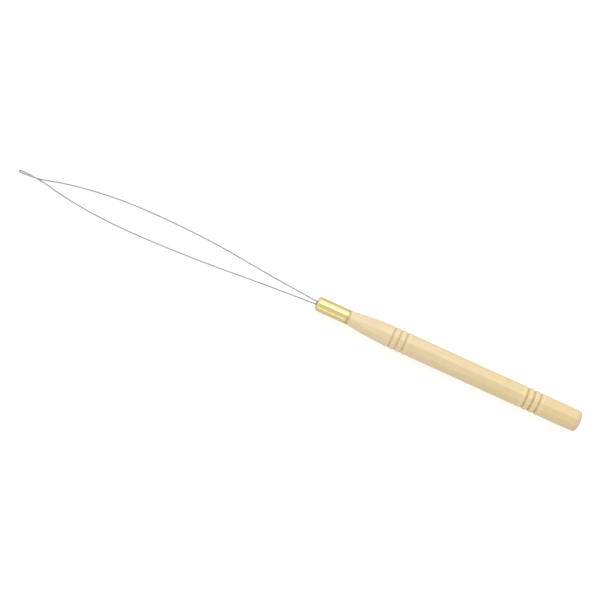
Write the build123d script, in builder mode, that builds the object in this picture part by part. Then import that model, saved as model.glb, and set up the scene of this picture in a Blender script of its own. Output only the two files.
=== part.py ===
from build123d import *
import math
import os

# Loop threader: a turned wooden handle, a brass ferrule on its front end and one spring-steel
# wire folded into a long loop, whose two tails are glued into the handle.
# X runs along the tool, loop tip at -X and butt at +X, +Z is up, and the tool lies on Z = 0
# with its loop flat. The origin is under the middle of the tool. All sizes are in millimetres.

# ---- Overall sizes ----
handle_length = 111.6       # wood behind the ferrule
ferrule_length = 15.0
loop_length = 143.4         # wire in front of the ferrule
body_diameter = 10.0        # round stock that the handle is turned from

# ---- Handle ----
nose_length = 23.0          # curved stretch from the ferrule up to the full diameter
shoulder_round = 0.3        # rounded edge of the wood against the ferrule
butt_dome = 0.6             # height of the slightly domed end
butt_round = 1.8
groove_pitch = 3.0
grooves_per_group = 3
groove_depth = 0.4
groove_cutter_radius = 0.75
groove_rim_round = 0.3
front_group_setback = 24.0  # middle groove behind the ferrule
rear_group_setback = 23.4   # middle groove in front of the butt

# ---- Ferrule ----
ferrule_diameter = 6.5
ferrule_wall = 0.4
lip_round = 1.0             # outside radius of the rolled front rim
lip_reach = 1.3             # how far the rim turns in, from the bore of the tube
rim_round = 0.15            # broken edges at the mouth and at the rear
tenon_gap = 0.2             # between the end of the rim's curve and the tenon's face

# ---- Wire and its seat ----
wire_diameter = 0.6
tail_spacing = 1.2          # between the centres of the two tails
tail_length = 28.0          # glued length, from the tenon's face
exit_bend_radius = 60.0     # gentle bend of each strand where it leaves the ferrule
bore_end_gap = 2.0          # bore left beyond the tails
glue_film = 0.25            # between a tail and the wall of the bore
glue_dome = 0.5             # height of the glue bead that stands out of the mouth

# ---- Loop ----
flare_length = 82.0         # from the ferrule to the widest place
eye_length = 8.6            # from the strands' crossing to the tip
belly_half_width = 5.8      # centre of a strand from the loop's own middle line
eye_gap = 0.2               # clear gap inside the folded tip
crossing_gap = 0.04         # clear gap between the strands where one passes over the other
tip_offset = -1.3           # the tip leans to one side of the axis
belly_offset = 0.4          # and the belly to the other

# Corners of each strand, rounded below: how far along the flare or the taper, how wide as a
# share of the belly, and how far the middle line has gone towards the offset at its far end.
flare_corners = [(0.30, 0.41, 0.5), (0.62, 0.83, 1.2), (0.91, 1.00, 0.8)]
taper_corners = [(0.23, 1.00, 0.0), (0.53, 0.78, 0.3), (0.77, 0.45, 0.55)]
pinch_along = 0.93          # share of the taper, where the strands come close together
pinch_lean = 0.80
crossing_lean = 0.95
eye_middle_spread = 0.9     # share of the folded tip's width, halfway along the eye
corner_share = 0.45         # share of the shorter run that each rounded corner takes up

# ---- Values worked out from the sizes above ----
total_length = handle_length + ferrule_length + loop_length
axis_height = body_diameter / 2
butt_x = total_length / 2
shoulder_x = butt_x - handle_length
mouth_x = shoulder_x - ferrule_length
tip_x = mouth_x - loop_length
tenon_face_x = mouth_x + lip_round + tenon_gap
cylinder_start_x = shoulder_x + nose_length

body_radius = body_diameter / 2
ferrule_radius = ferrule_diameter / 2
tenon_radius = ferrule_radius - ferrule_wall
mouth_radius = tenon_radius - lip_reach
wire_radius = wire_diameter / 2
bore_radius = tail_spacing / 2 + wire_radius + glue_film
bore_depth = tail_length + bore_end_gap
fold_radius = wire_radius + eye_gap / 2
fold_x = tip_x + wire_radius + fold_radius
crossing_rise = wire_radius + crossing_gap / 2
belly_x = mouth_x - flare_length
crossing_x = tip_x + eye_length
taper_length = belly_x - crossing_x

tool_axis = Axis((0, 0, axis_height), (1, 0, 0))
profile_plane = Plane(origin=(0, 0, axis_height), x_dir=(1, 0, 0), z_dir=(0, -1, 0))
loop_plane = Plane.XY.offset(axis_height)


def groove_centres():
    """Places along X of every turned groove, group by group."""
    centres = []
    for middle in (shoulder_x + front_group_setback, butt_x - rear_group_setback):
        for index in range(grooves_per_group):
            centres.append(middle + (index - (grooves_per_group - 1) / 2) * groove_pitch)
    return centres


def strand_corners(side):
    """Corners of one strand from its tail to the folded tip, side +1 or -1.

    Points are (X, Y, height over the loop's plane). A strand starts on its own side, passes
    over (+1) or under (-1) the other one and ends on the other side of the tip.
    """
    corners = [
        (tenon_face_x + tail_length, side * tail_spacing / 2, 0),
        (mouth_x, side * tail_spacing / 2, 0),
    ]
    for along, spread, lean in flare_corners:
        x = mouth_x - along * flare_length
        y = lean * belly_offset + side * spread * belly_half_width
        corners.append((x, y, 0))
    for along, spread, lean in taper_corners:
        x = belly_x - along * taper_length
        y = lean * tip_offset + side * spread * belly_half_width
        corners.append((x, y, 0))
    pinch_x = belly_x - pinch_along * taper_length
    pinch_y = pinch_lean * tip_offset + side * wire_diameter
    corners.append((pinch_x, pinch_y, side * crossing_rise))
    corners.append((crossing_x, crossing_lean * tip_offset, side * crossing_rise))
    eye_middle_x = (crossing_x + fold_x) / 2
    eye_middle_y = tip_offset - side * eye_middle_spread * fold_radius
    corners.append((eye_middle_x, eye_middle_y, side * wire_radius))
    corners.append((fold_x, tip_offset - side * fold_radius, 0))
    return corners


def corner_radii(corners):
    """One radius for each inner corner: the exit's own, then the same share of the shorter run."""
    points = [Vector(*corner) for corner in corners]
    radii = [exit_bend_radius]
    for before, here, after in zip(points[1:], points[2:], points[3:]):
        run_in = here - before
        run_out = after - here
        half_turn = math.radians(run_in.get_angle(run_out)) / 2
        shorter_run = min(run_in.length, run_out.length)
        radii.append(corner_share * shorter_run / math.tan(half_turn))
    return radii


os.makedirs("parts", exist_ok=True)

# ---- Handle: turned body with a tenon for the ferrule and a bore for the wire ----
with BuildPart() as handle:
    with BuildSketch(profile_plane) as handle_outline:
        with BuildLine() as handle_edge:
            Polyline(
                (butt_x, 0),
                (tenon_face_x, 0),
                (tenon_face_x, tenon_radius),
                (shoulder_x, tenon_radius),
                (shoulder_x, ferrule_radius),
            )
            TangentArc(
                (cylinder_start_x, body_radius),
                (shoulder_x, ferrule_radius),
                tangent=(-1, 0),
            )
            Line((cylinder_start_x, body_radius), (butt_x - butt_dome, body_radius))
            dome_radius = (body_radius**2 + butt_dome**2) / (2 * butt_dome)
            RadiusArc((butt_x - butt_dome, body_radius), (butt_x, 0), dome_radius)
        make_face()
        butt_corner = handle_outline.vertices().sort_by_distance((butt_x - butt_dome, body_radius))[0]
        fillet(butt_corner, radius=butt_round)
        shoulder_corner = handle_outline.vertices().sort_by_distance((shoulder_x, ferrule_radius))[0]
        fillet(shoulder_corner, radius=shoulder_round)
        cutter_height = body_radius - groove_depth + groove_cutter_radius
        with Locations(*[(x, cutter_height) for x in groove_centres()]):
            Circle(groove_cutter_radius, mode=Mode.SUBTRACT)
        arcs = handle_outline.edges().filter_by(GeomType.CIRCLE)
        groove_arcs = arcs.filter_by(lambda arc: abs(arc.radius - groove_cutter_radius) < 0.001)
        fillet(groove_arcs.vertices(), radius=groove_rim_round)
    revolve(axis=tool_axis)
    with Locations(Plane(origin=(tenon_face_x, 0, axis_height), z_dir=(-1, 0, 0))):
        Hole(radius=bore_radius, depth=bore_depth)
handle.part.label = "handle"
export_step(handle.part, "parts/handle.step")

# ---- Ferrule: drawn tube with its front rim rolled in ----
with BuildPart() as ferrule:
    with BuildSketch(profile_plane) as ferrule_outline:
        with BuildLine() as ferrule_edge:
            FilletPolyline(
                (shoulder_x, ferrule_radius),
                (mouth_x, ferrule_radius),
                (mouth_x, mouth_radius),
                radius=lip_round,
            )
            FilletPolyline(
                (mouth_x + ferrule_wall, mouth_radius),
                (mouth_x + ferrule_wall, tenon_radius),
                (shoulder_x, tenon_radius),
                radius=lip_round - ferrule_wall,
            )
            Line((mouth_x, mouth_radius), (mouth_x + ferrule_wall, mouth_radius))
            Line((shoulder_x, tenon_radius), (shoulder_x, ferrule_radius))
        make_face()
        mouth_edge = ferrule_outline.vertices().sort_by_distance((mouth_x, mouth_radius))[0]
        rear_edge = ferrule_outline.vertices().sort_by_distance((shoulder_x, ferrule_radius))[0]
        fillet([mouth_edge, rear_edge], radius=rim_round)
    revolve(axis=tool_axis)
ferrule.part.label = "ferrule"
export_step(ferrule.part, "parts/ferrule.step")

# ---- Wire loop: one round wire, tail, strand, folded tip, strand, tail ----
near_corners = strand_corners(1)
far_corners = strand_corners(-1)
with BuildPart() as wire_loop:
    with BuildLine(loop_plane) as wire_path:
        FilletPolyline(*near_corners, radius=corner_radii(near_corners))
        tip_point = (tip_x + wire_radius, tip_offset, 0)
        ThreePointArc(near_corners[-1], tip_point, far_corners[-1])
        FilletPolyline(*far_corners, radius=corner_radii(far_corners))
    wire_route = wire_path.wire()
    with BuildSketch(Plane(origin=wire_route @ 0, z_dir=wire_route % 0)) as wire_section:
        Circle(wire_radius)
    sweep(path=wire_route)
wire_loop.part.label = "wire_loop"
export_step(wire_loop.part, "parts/wire_loop.step")

# ---- Adhesive plug: fills the bore, the space behind the rim and stands a little proud ----
with BuildPart() as adhesive_plug:
    with BuildSketch(profile_plane) as plug_outline:
        with BuildLine() as plug_edge:
            bead_x = mouth_x + rim_round
            Polyline(
                (bead_x - glue_dome, 0),
                (tenon_face_x + bore_depth, 0),
                (tenon_face_x + bore_depth, bore_radius),
                (tenon_face_x, bore_radius),
                (tenon_face_x, tenon_radius),
            )
            FilletPolyline(
                (tenon_face_x, tenon_radius),
                (mouth_x + ferrule_wall, tenon_radius),
                (mouth_x + ferrule_wall, mouth_radius),
                radius=lip_round - ferrule_wall,
            )
            Line((mouth_x + ferrule_wall, mouth_radius), (bead_x, mouth_radius))
            bead_radius = (mouth_radius**2 + glue_dome**2) / (2 * glue_dome)
            RadiusArc((bead_x, mouth_radius), (bead_x - glue_dome, 0), -bead_radius)
        make_face()
    revolve(axis=tool_axis)
    add(wire_loop.part, mode=Mode.SUBTRACT)
adhesive_plug.part.label = "adhesive_plug"
export_step(adhesive_plug.part, "parts/adhesive_plug.step")
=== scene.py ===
"""Looks of a loop threader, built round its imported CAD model.

Every length is in metres, in the CAD model's own frame: X runs along the tool with the loop's
tip at -X and the butt at +X, Z is up, and the tool lies on Z = 0. Each new surface is a formula
on a grid of two parameters, worked out as whole numpy arrays, and stands for one CAD node.
"""

import logging
import math
from dataclasses import dataclass
from enum import Enum
from typing import Any, Sequence

import bmesh
import bpy
import numpy as np
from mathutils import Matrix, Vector


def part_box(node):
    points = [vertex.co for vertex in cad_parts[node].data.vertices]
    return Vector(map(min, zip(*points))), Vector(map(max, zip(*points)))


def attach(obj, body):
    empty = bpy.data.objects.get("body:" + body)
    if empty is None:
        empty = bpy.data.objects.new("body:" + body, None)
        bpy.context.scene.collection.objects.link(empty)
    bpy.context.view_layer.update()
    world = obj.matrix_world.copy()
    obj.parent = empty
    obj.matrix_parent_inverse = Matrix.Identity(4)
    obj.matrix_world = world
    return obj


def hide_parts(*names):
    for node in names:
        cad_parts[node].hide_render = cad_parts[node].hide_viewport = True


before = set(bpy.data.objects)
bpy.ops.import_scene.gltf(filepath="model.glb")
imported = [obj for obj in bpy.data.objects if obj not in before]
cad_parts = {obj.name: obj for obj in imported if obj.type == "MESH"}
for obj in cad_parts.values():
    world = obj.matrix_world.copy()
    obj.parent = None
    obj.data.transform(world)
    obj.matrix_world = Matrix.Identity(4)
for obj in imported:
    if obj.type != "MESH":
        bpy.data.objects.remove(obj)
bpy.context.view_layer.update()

log = logging.getLogger("loop_threader")

MM = 0.001
PER_MM = 1000.0
FULL_TURN = 2.0 * math.pi
QUARTER_TURN = 0.5 * math.pi
MARGIN_SHARE = 0.2  # of a straight run, the most that the margin at each end takes up
WAVE_SCALE = 20.0  # Blender's wave texture runs this many times faster than its Scale says

Floats = np.ndarray
Ints = np.ndarray
Colour = tuple[float, float, float]
Triple = tuple[float, float, float]


class Node(Enum):
    """CAD nodes that the pieces stand for."""

    HANDLE = "handle"
    FERRULE = "ferrule"
    WIRE_LOOP = "wire_loop"
    ADHESIVE = "adhesive_plug"


class Slot(Enum):
    """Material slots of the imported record."""

    WOOD = "lacquered_wood"
    BRASS = "brass"
    STEEL = "spring_steel"
    RESIN = "cured_adhesive"


class Trait(Enum):
    """Values that a mesh carries at each point for its material to read."""

    RECESS = "recess"
    RIM = "rim"
    END = "end_grain_and_shade"
    STRAIGHT = "straight"


# ---------------------------------------------------------------------------------------------
# Outlines and grids
# ---------------------------------------------------------------------------------------------


def arc(centre: tuple[float, float], radius: float, start: float, end: float, count: int) -> Floats:
    """Points on a circle: the centre plus radius times (cosine, sine) of evenly spaced angles.

    Args:
        centre: Place of the circle's middle in (x, radius).
        radius: Radius of the circle.
        start: First angle, in radians.
        end: Last angle, in radians.
        count: How many points.

    Returns:
        Array of count rows (x, radius).
    """
    angles = np.linspace(start, end, count)
    return np.stack([centre[0] + radius * np.cos(angles), centre[1] + radius * np.sin(angles)], axis=1)


def crisp_path(corners: Sequence[tuple[float, float]], counts: Sequence[int], margin: float) -> Floats:
    """Points on straight runs with one close to each corner, so that smooth shading keeps them.

    The places along a run are its two ends, a margin in from each, and an even spread between.

    Args:
        corners: Ends of the runs in (x, radius), one more than there are runs.
        counts: How many points in the even spread of each run.
        margin: Distance of the close points from the corners.

    Returns:
        Array of rows (x, radius).
    """
    places, runs = np.array(corners, float), []
    for first, last, count in zip(places[:-1], places[1:], counts):
        share = min(margin / float(np.linalg.norm(last - first)), MARGIN_SHARE)
        along = np.concatenate([[0.0], np.linspace(share, 1.0 - share, count), [1.0]])
        runs.append(first + along[:, None] * (last - first))
    return np.vstack(runs)


def smooth_lower(first: Floats, second: Floats, blend: float) -> Floats:
    """The lower of two heights with its crease rounded.

    Where the two differ by less than the blend, the lower one is taken down by a quarter of the
    blend times the square of how near they are, from 0 at the blend's edge to 1 where they meet.

    Args:
        first: Heights of one surface.
        second: Heights of the other surface.
        blend: Difference at which the rounding starts.

    Returns:
        Array of heights.
    """
    near = np.clip(1.0 - np.abs(first - second) / blend, 0.0, 1.0)
    return np.minimum(first, second) - 0.25 * blend * near**2


def smooth_step(low: float, high: float, values: Floats) -> Floats:
    """Rises from 0 at low to 1 at high as 3 t squared minus 2 t cubed."""
    share = np.clip((values - low) / (high - low), 0.0, 1.0)
    return share * share * (3.0 - 2.0 * share)


def without_repeats(points: Floats) -> Floats:
    """Drops every point that lies less than a nanometre from the one before it."""
    moved = np.linalg.norm(np.diff(points, axis=0), axis=1) > 1e-9
    return points[np.concatenate([[True], moved])]


def outline_bend(outline: Floats, closed: bool) -> Floats:
    """How sharply an outline turns at each point, in radians per metre, positive at a rim.

    It is the turn between the runs before and after a point, divided by half their lengths.

    Args:
        outline: Rows (x, radius).
        closed: True if the last point joins the first.

    Returns:
        One value for each point, with the sign of the outline's own winding.
    """
    if closed:
        before = outline - np.roll(outline, 1, axis=0)
        after = np.roll(outline, -1, axis=0) - outline
    else:
        runs = np.diff(outline, axis=0)
        before = np.vstack([runs[:1], runs])
        after = np.vstack([runs, runs[-1:]])
    cross = before[:, 0] * after[:, 1] - before[:, 1] * after[:, 0]
    dot = np.sum(before * after, axis=1)
    length = 0.5 * (np.linalg.norm(before, axis=1) + np.linalg.norm(after, axis=1))
    return np.arctan2(cross, dot) / length


def ring_quads(rows: int, columns: int, closed_rows: bool) -> Ints:
    """Quads between neighbouring rings, numbered row by row.

    Corner (i, j) is point i times columns plus j, and the last column joins the first.

    Args:
        rows: How many rings.
        columns: Points on each ring.
        closed_rows: True if the last ring joins the first.

    Returns:
        Array of quads, four point numbers each.
    """
    row = np.arange(rows if closed_rows else rows - 1)[:, None]
    column = np.arange(columns)[None, :]
    next_row = (row + 1) % rows
    next_column = (column + 1) % columns
    corners = [
        row * columns + column,
        row * columns + next_column,
        next_row * columns + next_column,
        next_row * columns + column,
    ]
    return np.stack(corners, axis=-1).reshape(-1, 4)


def show(name: str, data: bpy.types.ID) -> bpy.types.Object:
    """Makes an object that carries this data and links it to the scene."""
    made = bpy.data.objects.new(name, data)
    bpy.context.scene.collection.objects.link(made)
    return made


@dataclass(frozen=True)
class Shell:
    """A closed surface made of rings: points, quads and the triangles round its poles."""

    points: Floats
    quads: Ints
    triangles: Ints
    rings: int
    columns: int

    @classmethod
    def from_rings(cls, rings: Floats, poles: Floats | None) -> "Shell":
        """Joins rings of points into one closed surface with outward faces.

        Args:
            rings: Array (ring, column, 3).
            poles: The two end points (2, 3) that close it, or None where the last ring meets
                the first.

        Returns:
            The shell.
        """
        count, columns = rings.shape[:2]
        points = rings.reshape(-1, 3)
        quads = ring_quads(count, columns, poles is None)
        triangles = np.empty((0, 3), int)
        if poles is not None:
            column = np.arange(columns)
            beside = (column + 1) % columns
            last = (count - 1) * columns
            first_pole = np.full(columns, len(points))
            last_pole = first_pole + 1
            front = np.stack([first_pole, beside, column], axis=1)
            back = np.stack([last_pole, last + column, last + beside], axis=1)
            triangles = np.vstack([front, back])
            points = np.vstack([points, poles])
        shell = cls(points, quads, triangles, count, columns)
        if shell.volume() < 0.0:
            return cls(points, quads[:, ::-1], triangles[:, ::-1], count, columns)
        return shell

    def volume(self) -> float:
        """Signed volume: a sixth of the sum of the corner triple products over all triangles."""
        halves = [self.quads[:, [0, 1, 2]], self.quads[:, [0, 2, 3]], self.triangles]
        corners = self.points[np.vstack(halves)]
        crossed = np.cross(corners[:, 1], corners[:, 2])
        return float(np.sum(corners[:, 0] * crossed) / 6.0)

    def spread(self, ring_values: Floats, poles: bool) -> Floats:
        """Gives every point its ring's value, and each pole that of the ring beside it."""
        values = np.repeat(ring_values, self.columns)
        return np.concatenate([values, ring_values[[0, -1]]]) if poles else values

    def mesh_object(self, name: str, traits: dict[Trait, Floats]) -> bpy.types.Object:
        """Makes the Blender object, smooth shaded, with a value of each trait at every point.

        Args:
            name: Name of the piece.
            traits: One array for each trait, of numbers or of 3-D vectors.

        Returns:
            The new object, linked to the scene.
        """
        mesh = bpy.data.meshes.new(name)
        mesh.from_pydata(self.points.tolist(), [], self.quads.tolist() + self.triangles.tolist())
        mesh.polygons.foreach_set("use_smooth", np.ones(len(mesh.polygons), bool))
        for trait, values in traits.items():
            flat = np.ascontiguousarray(values, np.float32)
            is_vector = flat.ndim == 2
            kind = "FLOAT_VECTOR" if is_vector else "FLOAT"
            layer = mesh.attributes.new(trait.value, kind, "POINT")
            layer.data.foreach_set("vector" if is_vector else "value", flat.ravel())
        mesh.update()
        return show(name, mesh)


def turn_outline(outline: Floats, columns: int, axis_height: float, closed: bool) -> Shell:
    """Turns an outline about the tool's axis.

    A point (x, r) at angle a goes to (x, r cos a, axis height + r sin a). An open outline starts
    and ends on the axis, and these two points become the poles.

    Args:
        outline: Rows (x, radius).
        columns: Points round the axis.
        axis_height: Height of the axis over the floor.
        closed: True if the outline is a ring of its own.

    Returns:
        The turned shell.
    """
    angle = np.arange(columns) * FULL_TURN / columns
    body = outline if closed else outline[1:-1]
    x = np.broadcast_to(body[:, :1], (len(body), columns))
    y = body[:, 1:] * np.cos(angle)
    z = axis_height + body[:, 1:] * np.sin(angle)
    poles = None
    if not closed:
        ends = outline[[0, -1], 0]
        poles = np.stack([ends, np.zeros(2), np.full(2, axis_height)], axis=1)
    return Shell.from_rings(np.stack([x, y, z], axis=-1), poles)


@dataclass(frozen=True)
class ToolFrame:
    """Places and sizes that the pieces share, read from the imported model's boxes."""

    tip_x: float
    mouth_x: float
    shoulder_x: float
    butt_x: float
    tenon_face_x: float
    tail_end_x: float
    bead_x: float
    bore_end_x: float
    axis_height: float
    body_radius: float
    ferrule_radius: float
    tenon_radius: float
    wire_radius: float = 0.3 * MM
    tail_spacing: float = 1.2 * MM
    glue_film: float = 0.25 * MM
    lip_round: float = 1.0 * MM
    lip_reach: float = 1.3 * MM
    edge_round: float = 0.15 * MM
    crisp: float = 0.03 * MM

    @property
    def wall(self) -> float:
        """Wall of the ferrule."""
        return self.ferrule_radius - self.tenon_radius

    @property
    def mouth_radius(self) -> float:
        """Opening inside the ferrule's rolled lip."""
        return self.tenon_radius - self.lip_reach

    @property
    def bore_radius(self) -> float:
        """Bore that both tails and a film of resin fill."""
        return 0.5 * self.tail_spacing + self.wire_radius + self.glue_film

    @property
    def bore_corners(self) -> list[tuple[float, float]]:
        """Corners in (x, radius) from the tenon's edge round its face and down the bore to the axis."""
        face, end = self.tenon_face_x, self.bore_end_x
        return [(face, self.tenon_radius), (face, self.bore_radius), (end, self.bore_radius), (end, 0.0)]

    @classmethod
    def from_cad(cls) -> "ToolFrame":
        """Reads the four nodes' boxes."""
        handle_low, handle_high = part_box(Node.HANDLE.value)
        ferrule_low, ferrule_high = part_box(Node.FERRULE.value)
        wire_low, wire_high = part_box(Node.WIRE_LOOP.value)
        plug_low, plug_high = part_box(Node.ADHESIVE.value)
        return cls(
            tip_x=wire_low[0],
            mouth_x=ferrule_low[0],
            shoulder_x=ferrule_high[0],
            butt_x=handle_high[0],
            tenon_face_x=handle_low[0],
            tail_end_x=wire_high[0],
            bead_x=plug_low[0],
            bore_end_x=plug_high[0],
            axis_height=0.5 * (handle_low[2] + handle_high[2]),
            body_radius=0.5 * (handle_high[2] - handle_low[2]),
            ferrule_radius=0.5 * (ferrule_high[2] - ferrule_low[2]),
            tenon_radius=0.5 * (plug_high[2] - plug_low[2]),
        )


# ---------------------------------------------------------------------------------------------
# Shader building
# ---------------------------------------------------------------------------------------------


@dataclass(frozen=True)
class Lines:
    """Fine lines along X: noise turns per millimetre along and across, and the levels they span."""

    along: float
    across: float
    low: float
    high: float


@dataclass(frozen=True)
class Dots:
    """Scattered dots: cells per millimetre, radius in cells, and the share of cells with a dot."""

    scale: float
    radius: float
    share: float


@dataclass(frozen=True)
class Bench:
    """Adds nodes to one tree and joins them."""

    tree: bpy.types.NodeTree

    @classmethod
    def for_material(cls, name: str) -> tuple[bpy.types.Material, "Bench"]:
        """Makes a material with an empty tree, and the bench that fills it."""
        material = bpy.data.materials.new(name)
        material.use_nodes = True
        material.node_tree.nodes.clear()
        return material, cls(material.node_tree)

    def add(self, kind: str, inputs: dict[str | int, Any] | None = None, **settings: Any) -> bpy.types.Node:
        """Adds one node.

        Args:
            kind: Blender's identifier of the node.
            inputs: Value or socket for each named or numbered input.
            **settings: Properties of the node itself.

        Returns:
            The new node.
        """
        node = self.tree.nodes.new(kind)
        for key, value in settings.items():
            setattr(node, key, value)
        for key, value in (inputs or {}).items():
            if isinstance(value, bpy.types.NodeSocket):
                self.tree.links.new(value, node.inputs[key])
            else:
                node.inputs[key].default_value = value
        return node

    def surface(self, inputs: dict[str, Any]) -> None:
        """Adds the Principled shader with these inputs, and the material's output."""
        shader = self.add("ShaderNodeBsdfPrincipled", inputs)
        self.add("ShaderNodeOutputMaterial", {"Surface": shader.outputs[0]})

    def math(self, operation: str, first: Any, second: Any = 0.0, third: Any = 0.0) -> bpy.types.NodeSocket:
        """Combines up to three values with one Math node."""
        inputs = {0: first, 1: second, 2: third}
        return self.add("ShaderNodeMath", inputs, operation=operation).outputs[0]

    def total(self, start: Any, terms: Sequence[tuple[Any, float]]) -> bpy.types.NodeSocket:
        """Adds each value times its share to a start.

        Args:
            start: Number or socket.
            terms: Rows (value, share).

        Returns:
            The sum.
        """
        for value, share in terms:
            start = self.math("MULTIPLY_ADD", value, share, start)
        return start

    def layers(self, first: Any, coats: Sequence[tuple[Any, float, Any]]) -> bpy.types.NodeSocket:
        """Lays colours over a first one, each by its mask times its share.

        Args:
            first: Colour or socket.
            coats: Rows (mask, share, colour or socket), from the lowest to the top one.

        Returns:
            The mixed colour.
        """
        for mask, share, colour in coats:
            paints = [(*paint, 1.0) if isinstance(paint, tuple) else paint for paint in (first, colour)]
            inputs = {0: self.math("MULTIPLY", mask, share), 6: paints[0], 7: paints[1]}
            first = self.add("ShaderNodeMix", inputs, data_type="RGBA").outputs[2]
        return first

    def rescale(
        self, value: Any, low: Any, high: Any, to_low: float = 0.0, to_high: float = 1.0
    ) -> bpy.types.NodeSocket:
        """Maps a value from one range to another and holds it there.

        Args:
            value: Socket to read.
            low: Value that gives to_low.
            high: Value that gives to_high.
            to_low: Result at low.
            to_high: Result at high.

        Returns:
            The mapped value.
        """
        inputs = {"Value": value, "From Min": low, "From Max": high, "To Min": to_low, "To Max": to_high}
        return self.add("ShaderNodeMapRange", inputs, clamp=True).outputs[0]

    def trait(self, trait: Trait, output: str = "Fac") -> bpy.types.NodeSocket:
        """Reads one of the mesh's own values."""
        return self.add("ShaderNodeAttribute", attribute_name=trait.value).outputs[output]

    def object_mm(self, axis_height: float) -> bpy.types.NodeSocket:
        """Object coordinates in millimetres, measured from the tool's axis."""
        place = self.add("ShaderNodeTexCoord").outputs["Object"]
        inputs = {"Vector": place, "Scale": (PER_MM,) * 3, "Location": (0.0, 0.0, -axis_height * PER_MM)}
        return self.add("ShaderNodeMapping", inputs).outputs[0]

    def stretch(self, vector: Any, scale: Any) -> bpy.types.NodeSocket:
        """Scales a vector along each axis."""
        return self.add("ShaderNodeVectorMath", {0: vector, 1: scale}, operation="MULTIPLY").outputs[0]

    def noise(
        self, vector: Any, scale: Any, detail: float = 3.0, roughness: float = 0.55
    ) -> bpy.types.NodeSocket:
        """Soft noise from 0 to 1, around 0.5."""
        inputs = {"Vector": vector, "Scale": scale, "Detail": detail, "Roughness": roughness}
        return self.add("ShaderNodeTexNoise", inputs).outputs[0]

    def bump(self, height: Any, depth: float) -> bpy.types.NodeSocket:
        """A normal tilted by a height from 0 to 1 that stands for the given depth in metres."""
        return self.add("ShaderNodeBump", {"Height": height, "Distance": depth, "Strength": 1.0}).outputs[0]

    def effect(self, tree: bpy.types.NodeTree, **inputs: Any) -> bpy.types.NodeSocket:
        """Places a shared effect with these inputs and returns its output."""
        return self.add("ShaderNodeGroup", inputs, node_tree=tree).outputs[0]

    def lines(self, tree: bpy.types.NodeTree, vector: Any, kind: Lines) -> bpy.types.NodeSocket:
        """Places the shared lines."""
        return self.effect(
            tree, Vector=vector, Along=kind.along, Across=kind.across, Low=kind.low, High=kind.high
        )

    def dots(self, tree: bpy.types.NodeTree, vector: Any, kind: Dots) -> bpy.types.NodeSocket:
        """Places the shared dots."""
        return self.effect(tree, Vector=vector, Scale=kind.scale, Radius=kind.radius, Share=kind.share)


@dataclass(frozen=True)
class SharedEffects:
    """Node groups that several finishes use."""

    lines: bpy.types.NodeTree
    soil_and_shade: bpy.types.NodeTree
    dots: bpy.types.NodeTree

    @classmethod
    def build(cls) -> "SharedEffects":
        """Makes the three groups."""
        return cls(cls._lines(), cls._soil(), cls._dots())

    @staticmethod
    def _group(name: str, output: str, values: dict[str, float]) -> tuple[Bench, Any, bpy.types.NodeSocket]:
        """Starts a group that takes a vector and some values and puts out one value.

        Args:
            name: Name of the group.
            output: Name of the output.
            values: Standing value for each further input's name.

        Returns:
            The group's bench, its input sockets and its output socket.
        """
        tree = bpy.data.node_groups.new(name, "ShaderNodeTree")
        tree.interface.new_socket(name="Vector", in_out="INPUT", socket_type="NodeSocketVector")
        for label, value in values.items():
            socket = tree.interface.new_socket(name=label, in_out="INPUT", socket_type="NodeSocketFloat")
            socket.default_value = value
        tree.interface.new_socket(name=output, in_out="OUTPUT", socket_type="NodeSocketFloat")
        bench = Bench(tree)
        return bench, bench.add("NodeGroupInput").outputs, bench.add("NodeGroupOutput").inputs[0]

    @classmethod
    def _lines(cls) -> bpy.types.NodeTree:
        """Fine lines: noise stretched along X, cut to a contrast between two levels."""
        standing = {"Along": 0.05, "Across": 5.0, "Low": 0.35, "High": 0.65}
        bench, entry, leave = cls._group("stretched_lines", "Lines", standing)
        scale = bench.add("ShaderNodeCombineXYZ", {0: entry["Along"], 1: entry["Across"], 2: entry["Across"]})
        noise = bench.noise(bench.stretch(entry["Vector"], scale.outputs[0]), 1.0, 4.0, 0.6)
        bench.tree.links.new(bench.rescale(noise, entry["Low"], entry["High"]), leave)
        return bench.tree

    @classmethod
    def _soil(cls) -> bpy.types.NodeTree:
        """Dirt, patina and painted shade: a recess mask broken up by patches and by a finer noise."""
        inputs = {"Recess": 0.0, "Patch": 0.4, "Amount": 1.0}
        bench, entry, leave = cls._group("soil_and_shade_in_recesses", "Soil", inputs)
        patches = bench.rescale(bench.noise(entry["Vector"], entry["Patch"], 2.0), 0.3, 0.7, 0.35)
        broken = bench.total(patches, [(bench.noise(entry["Vector"], 4.0), 0.5)])
        masked = bench.math("MULTIPLY", entry["Recess"], broken)
        soil_and_shade = bench.math("MULTIPLY", masked, entry["Amount"])
        bench.tree.links.new(bench.rescale(soil_and_shade, 0.0, 1.0), leave)
        return bench.tree

    @classmethod
    def _dots(cls) -> bpy.types.NodeTree:
        """Pores and dust: small dots round the middles of a scattered cell pattern."""
        inputs = {"Scale": 1.0, "Radius": 0.2, "Share": 0.5}
        bench, entry, leave = cls._group("scattered_specks", "Specks", inputs)
        sockets = {"Vector": entry["Vector"], "Scale": entry["Scale"]}
        cells = bench.add("ShaderNodeTexVoronoi", sockets).outputs
        near = bench.math("SUBTRACT", 1.0, bench.math("DIVIDE", cells["Distance"], entry["Radius"]))
        chosen = bench.math("LESS_THAN", cells["Color"], entry["Share"])
        bench.tree.links.new(bench.math("MULTIPLY", bench.rescale(near, 0.0, 0.5), chosen), leave)
        return bench.tree


# ---------------------------------------------------------------------------------------------
# Finishes: places and pattern scales are in millimetres
# ---------------------------------------------------------------------------------------------


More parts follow.
